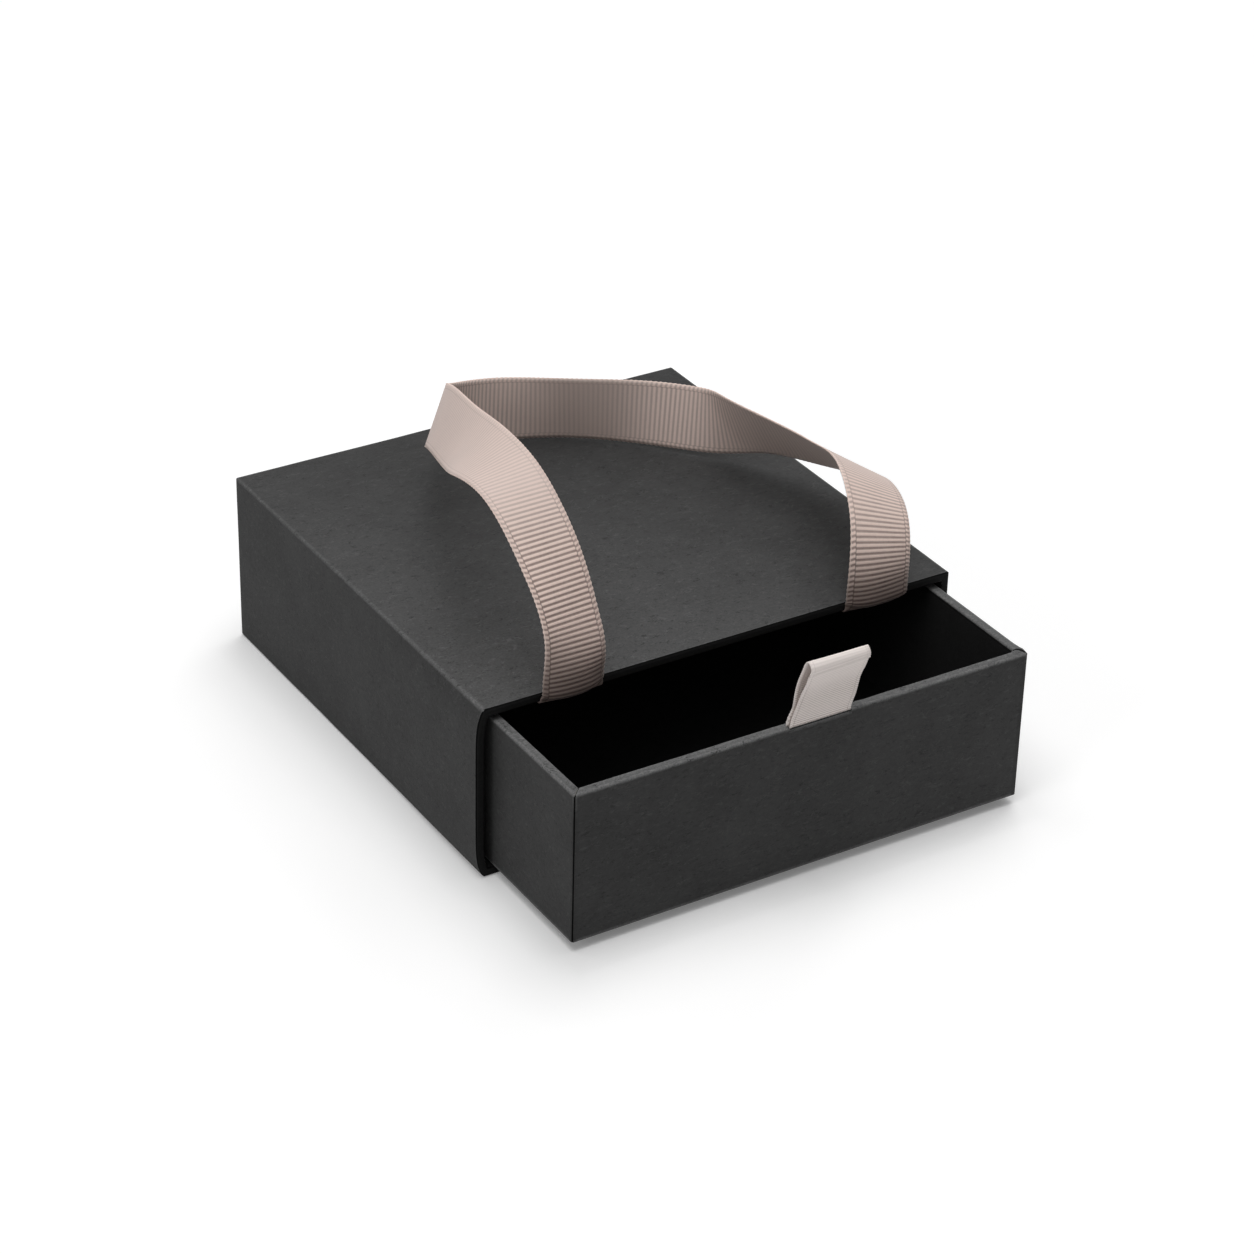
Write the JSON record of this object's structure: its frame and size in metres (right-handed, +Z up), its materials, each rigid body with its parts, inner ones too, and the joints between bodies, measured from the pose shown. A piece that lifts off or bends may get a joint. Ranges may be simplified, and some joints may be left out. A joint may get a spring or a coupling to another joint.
{
  "type": "sliding drawer gift box",
  "caption": "Paper-wrapped board box: an open tray slides out of a sleeve closed at the back, with a ribbon loop handle at the mouth and a folded ribbon pull tab.",
  "frame": {"origin": "centre of the sleeve's underside", "axes": "+Z up, +Y from the mouth towards the closed back, +X to the right of someone who faces the mouth"},
  "size_m": [0.12, 0.1582, 0.0838],
  "materials": {
    "charcoal_paper": "matte",
    "black_lining": "matte",
    "greyboard": "matte",
    "black_tape": "matte",
    "taupe_ribbon": "matte",
    "greige_ribbon": "matte"
  },
  "bodies": {
    "sleeve": {"sleeve_top_board": "greyboard", "sleeve_bottom_board": "greyboard", "sleeve_left_board": "greyboard", "sleeve_right_board": "greyboard", "sleeve_back_board": "greyboard", "sleeve_wrap": "charcoal_paper", "sleeve_lining": "black_lining", "sleeve_base_sheet": "charcoal_paper", "sleeve_tape_lower_left": "black_tape", "sleeve_tape_upper_left": "black_tape", "sleeve_tape_lower_right": "black_tape", "sleeve_tape_upper_right": "black_tape", "handle_end_left": "taupe_ribbon", "handle_end_right": "taupe_ribbon"},
    "handle": {"handle_ribbon": "taupe_ribbon"},
    "tray": {"tray_front_board": "greyboard", "tray_back_board": "greyboard", "tray_left_board": "greyboard", "tray_right_board": "greyboard", "tray_bottom_board": "greyboard", "tray_wrap": "charcoal_paper", "tray_front_sheet": "charcoal_paper", "tray_lining": "black_lining", "tray_base_sheet": "charcoal_paper", "tray_tape_front_left": "black_tape", "tray_tape_back_left": "black_tape", "tray_tape_front_right": "black_tape", "tray_tape_back_right": "black_tape", "pull_tab_ends": "greige_ribbon"},
    "tab": {"pull_tab": "greige_ribbon"}
  },
  "joints": [
    {"name": "tray_slide", "type": "slide", "parent": "sleeve", "child": "tray", "axis": [0, -1, 0], "range_m": [-0.0315, 0.08]},
    {"name": "handle_swing", "type": "hinge", "parent": "sleeve", "child": "handle", "pos_m": [0, -0.0617, 0.0435], "axis": [1, 0, 0], "range_deg": [0, 80]},
    {"name": "tab_bend", "type": "hinge", "parent": "tray", "child": "tab", "pos_m": [0, -0.09135, 0.03965], "axis": [1, 0, 0], "range_deg": [0, 50], "stiffness_Nm_per_rad": 0.0002, "springref_deg": -11.46}
  ]
}
